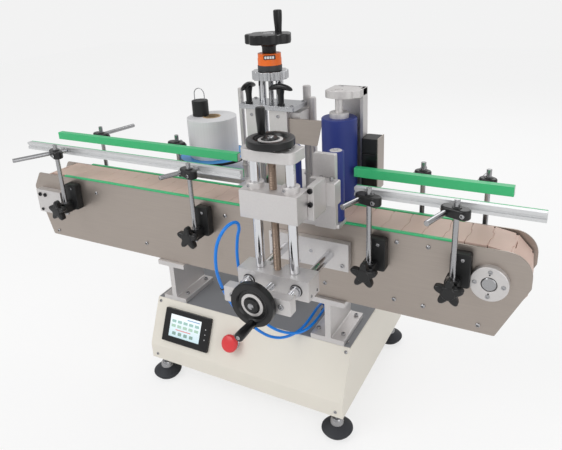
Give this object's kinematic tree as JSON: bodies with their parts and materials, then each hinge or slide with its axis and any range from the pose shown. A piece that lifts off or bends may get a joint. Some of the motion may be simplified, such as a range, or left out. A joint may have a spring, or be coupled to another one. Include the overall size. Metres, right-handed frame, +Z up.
{
  "type": "bottle labelling machine",
  "caption": "Desktop wrap-around bottle labeller: slat-chain conveyor on a cabinet, adjustable side guides, screw-driven bottle press, wrap roller and label head.",
  "frame": {"origin": "on the floor under the middle of the bounding box, the hose left out", "axes": "+X along the conveyor in the bottles' direction, +Y from the operator towards the label head, +Z up"},
  "size_m": [1.2192, 0.6356, 0.8619],
  "materials": {
    "cream_paint": "satin",
    "dark_deck": "matt",
    "stainless": "brushed",
    "chain_resin": "matt",
    "green_slide": "smooth",
    "steel": "ground",
    "motor_grey": "satin",
    "aluminium": "satin",
    "black_plastic": "matt",
    "screen_glass": "gloss",
    "chrome": "polished",
    "roller_rubber": "matt",
    "orange_plastic": "gloss",
    "red_plastic": "gloss",
    "tray_blue": "gloss",
    "label_stock": "smooth",
    "hose_blue": "gloss"
  },
  "bodies": {
    "machine": {"side_plate_front": "stainless", "side_plate_back": "stainless", "slat_chain": "chain_resin", "slide_strip_front": "green_slide", "slide_strip_back": "green_slide", "gear_motor": "motor_grey", "cabinet_shell": "cream_paint", "cabinet_deck": "dark_deck", "conveyor_support_left": "aluminium", "conveyor_support_right": "aluminium", "screen_bezel": "black_plastic", "screen_display": "screen_glass", "press_mount_block": "aluminium", "press_guide": "aluminium", "wrap_bracket": "aluminium", "wrap_motor": "black_plastic", "head_stand": "aluminium", "head_posts": "chrome", "position_indicator": "orange_plastic", "air_hose": "hose_blue"},
    "drive_shaft": {"drive_shaft": "steel"},
    "idler_shaft": {"idler_shaft": "steel"},
    "stop_button": {"stop_button": "red_plastic"},
    "press_saddle": {"saddle_block": "aluminium", "saddle_uprights": "chrome"},
    "reach_wheel": {"reach_wheel": "black_plastic"},
    "reach_crank": {"reach_crank": "black_plastic"},
    "lift_wheel": {"lift_wheel": "black_plastic"},
    "lift_crank": {"lift_crank": "black_plastic"},
    "press_slider": {"slider_block": "aluminium", "press_cylinder": "aluminium"},
    "press_carrier": {"press_carrier": "aluminium"},
    "press_roller_left": {"press_roller_left": "roller_rubber"},
    "press_roller_right": {"press_roller_right": "roller_rubber"},
    "wrap_roller": {"wrap_roller": "roller_rubber"},
    "head_carriage": {"head_carriage": "aluminium", "peel_plate": "stainless"},
    "head_wheel": {"head_wheel": "black_plastic"},
    "head_crank": {"head_crank": "black_plastic"},
    "feed_roller": {"feed_roller": "roller_rubber"},
    "label_reel": {"reel_tray": "tray_blue", "label_reel": "label_stock"},
    "clamp_handle_left": {"clamp_handle_left": "black_plastic"},
    "clamp_handle_right": {"clamp_handle_right": "black_plastic"},
    "front_left_posts": {"guide_post_front_left_a": "steel", "guide_post_front_left_b": "steel"},
    "front_left_rail": {"guide_rail_front_left": "aluminium", "rail_strip_front_left": "green_slide"},
    "front_right_posts": {"guide_post_front_right_a": "steel", "guide_post_front_right_b": "steel"},
    "front_right_rail": {"guide_rail_front_right": "aluminium", "rail_strip_front_right": "green_slide"},
    "back_left_posts": {"guide_post_back_left_a": "steel", "guide_post_back_left_b": "steel"},
    "back_left_rail": {"guide_rail_back_left": "aluminium", "rail_strip_back_left": "green_slide"},
    "back_right_posts": {"guide_post_back_right_a": "steel", "guide_post_back_right_b": "steel"},
    "back_right_rail": {"guide_rail_back_right": "aluminium", "rail_strip_back_right": "green_slide"}
  },
  "joints": [
    {"name": "drive_shaft_turn", "type": "hinge", "parent": "machine", "child": "drive_shaft", "pos_m": [0.53241, 0.01048, 0.4155], "axis": [0, 1, 0], "continuous": true},
    {"name": "idler_shaft_turn", "type": "hinge", "parent": "machine", "child": "idler_shaft", "pos_m": [-0.53959, 0.01048, 0.4155], "axis": [0, 1, 0], "continuous": true},
    {"name": "front_left_height", "type": "slide", "parent": "machine", "child": "front_left_posts", "axis": [0, 0, 1], "range_m": [-0.01, 0.04]},
    {"name": "front_left_reach", "type": "slide", "parent": "front_left_posts", "child": "front_left_rail", "axis": [-0.454, -0.891, 0], "range_m": [-0.012, 0.006]},
    {"name": "front_right_height", "type": "slide", "parent": "machine", "child": "front_right_posts", "axis": [0, 0, 1], "range_m": [-0.01, 0.04]},
    {"name": "front_right_reach", "type": "slide", "parent": "front_right_posts", "child": "front_right_rail", "axis": [-0.2924, -0.9563, 0], "range_m": [-0.012, 0.009]},
    {"name": "back_left_height", "type": "slide", "parent": "machine", "child": "back_left_posts", "axis": [0, 0, 1], "range_m": [-0.01, 0.04]},
    {"name": "back_left_reach", "type": "slide", "parent": "back_left_posts", "child": "back_left_rail", "axis": [0.1736, 0.9848, 0], "range_m": [-0.012, 0.012]},
    {"name": "back_right_height", "type": "slide", "parent": "machine", "child": "back_right_posts", "axis": [0, 0, 1], "range_m": [-0.01, 0.04]},
    {"name": "back_right_reach", "type": "slide", "parent": "back_right_posts", "child": "back_right_rail", "axis": [0.1736, 0.9848, 0], "range_m": [-0.012, 0.012]},
    {"name": "press_saddle_slide", "type": "slide", "parent": "machine", "child": "press_saddle", "axis": [0, 1, 0], "range_m": [-0.03, 0.04]},
    {"name": "reach_wheel_turn", "type": "hinge", "parent": "machine", "child": "reach_wheel", "pos_m": [0.18891, -0.25552, 0.41541], "axis": [0, 1, 0], "continuous": true},
    {"name": "reach_crank_spin", "type": "hinge", "parent": "reach_wheel", "child": "reach_crank", "pos_m": [0.18891, -0.27252, 0.38241], "axis": [0, 1, 0], "continuous": true},
    {"name": "press_lift", "type": "slide", "parent": "press_saddle", "child": "press_slider", "axis": [0, 0, 1], "range_m": [0, 0.04]},
    {"name": "lift_wheel_turn", "type": "hinge", "parent": "press_saddle", "child": "lift_wheel", "pos_m": [0.18891, -0.17702, 0.65], "axis": [0, 0, 1], "continuous": true},
    {"name": "lift_crank_spin", "type": "hinge", "parent": "lift_wheel", "child": "lift_crank", "pos_m": [0.16155, -0.15856, 0.68], "axis": [0, 0, 1], "continuous": true},
    {"name": "press_stroke", "type": "slide", "parent": "press_slider", "child": "press_carrier", "axis": [0, 1, 0], "range_m": [0, 0.025]},
    {"name": "press_roller_left_spin", "type": "hinge", "parent": "press_carrier", "child": "press_roller_left", "pos_m": [0.16491, -0.05172, 0.5], "axis": [0, 0, 1], "continuous": true},
    {"name": "press_roller_right_spin", "type": "hinge", "parent": "press_carrier", "child": "press_roller_right", "pos_m": [0.25191, -0.05172, 0.5], "axis": [0, 0, 1], "continuous": true},
    {"name": "wrap_roller_spin", "type": "hinge", "parent": "machine", "child": "wrap_roller", "pos_m": [0.20841, 0.07048, 0.488], "axis": [0, 0, 1], "continuous": true},
    {"name": "head_lift", "type": "slide", "parent": "machine", "child": "head_carriage", "axis": [0, 0, 1], "range_m": [-0.05, 0.005]},
    {"name": "head_wheel_turn", "type": "hinge", "parent": "machine", "child": "head_wheel", "pos_m": [0.03441, 0.10548, 0.74], "axis": [0, 0, 1], "continuous": true},
    {"name": "head_crank_spin", "type": "hinge", "parent": "head_wheel", "child": "head_crank", "pos_m": [0.04066, 0.14094, 0.82], "axis": [0, 0, 1], "continuous": true},
    {"name": "feed_roller_spin", "type": "hinge", "parent": "head_carriage", "child": "feed_roller", "pos_m": [0.02741, 0.15648, 0.47], "axis": [0, 0, 1], "continuous": true},
    {"name": "label_reel_spin", "type": "hinge", "parent": "head_carriage", "child": "label_reel", "pos_m": [-0.18259, 0.18048, 0.47], "axis": [0, 0, 1], "continuous": true},
    {"name": "clamp_handle_left_turn", "type": "hinge", "parent": "head_carriage", "child": "clamp_handle_left", "pos_m": [-0.00859, 0.08348, 0.67], "axis": [0, 0, 1], "range_deg": [-10, 60]},
    {"name": "clamp_handle_right_turn", "type": "hinge", "parent": "head_carriage", "child": "clamp_handle_right", "pos_m": [0.07041, 0.08348, 0.67], "axis": [0, 0, 1], "range_deg": [-15, 60]},
    {"name": "stop_button_press", "type": "slide", "parent": "machine", "child": "stop_button", "axis": [0, 0.9095, -0.4158], "range_m": [0, 0.005], "stiffness_N_per_m": 600, "springref_m": -0.003}
  ],
  "couplings": [
    {"joint": "idler_shaft_turn", "follows": "drive_shaft_turn", "ratio": 1},
    {"joint": "reach_wheel_turn", "follows": "press_saddle_slide", "rad_per_m": 785.4},
    {"joint": "lift_wheel_turn", "follows": "press_lift", "rad_per_m": 785.4},
    {"joint": "head_wheel_turn", "follows": "head_lift", "rad_per_m": 785.4}
  ]
}
